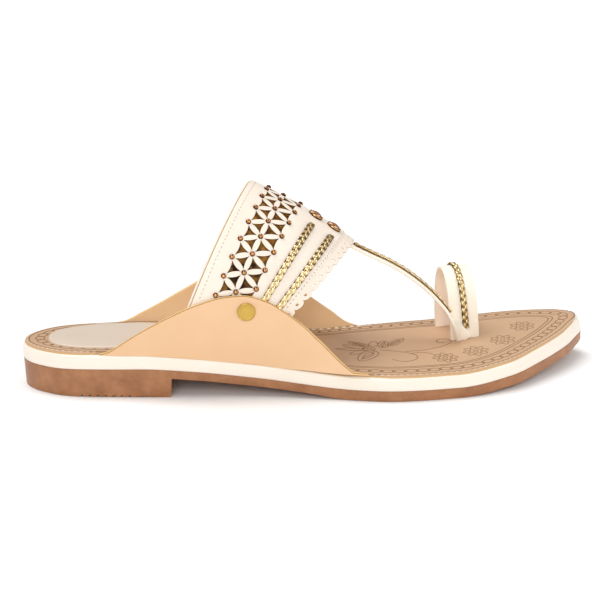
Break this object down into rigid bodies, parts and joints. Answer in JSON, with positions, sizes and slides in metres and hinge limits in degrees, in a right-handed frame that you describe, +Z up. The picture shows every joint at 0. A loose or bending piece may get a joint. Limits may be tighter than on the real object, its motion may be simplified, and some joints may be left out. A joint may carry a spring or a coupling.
{
  "type": "flat sandal",
  "caption": "Right flat slip-on sandal: a cut-out vamp band held between side panels, a braided centre strap running to a big-toe ring, on a low-heeled sole.",
  "frame": {"origin": "centre of the bounding box on the floor under the sole", "axes": "+X from heel to toe, +Y to the big-toe side, +Z up"},
  "size_m": [0.254, 0.0898, 0.0869],
  "materials": {
    "tread_rubber": "satin brown moulded rubber",
    "ivory_leather": "smooth satin ivory",
    "insole_leather": "matt taupe tan with burnished embossing",
    "heel_leather": "matt pale beige",
    "tan_leather": "smooth satin peach tan",
    "gold_braid": "antique gold plaited cord",
    "brass": "satin brass",
    "gold_setting": "polished antique gold",
    "amber_glass": "polished amber"
  },
  "bodies": {
    "root": {"outsole": "tread_rubber", "midsole": "ivory_leather", "insole": "insole_leather", "heel_patch": "heel_leather", "side_panel_outer": "tan_leather", "side_panel_inner": "tan_leather", "upper": "ivory_leather", "braid_outer_rear": "gold_braid", "braid_inner_rear": "gold_braid", "braid_outer_front": "gold_braid", "braid_inner_front": "gold_braid", "braid_strap": "gold_braid", "braid_ring": "gold_braid", "badge": "brass", "stone_rear_setting": "gold_setting", "stone_rear": "amber_glass", "stone_front_setting": "gold_setting", "stone_front": "amber_glass"}
  },
  "joints": []
}
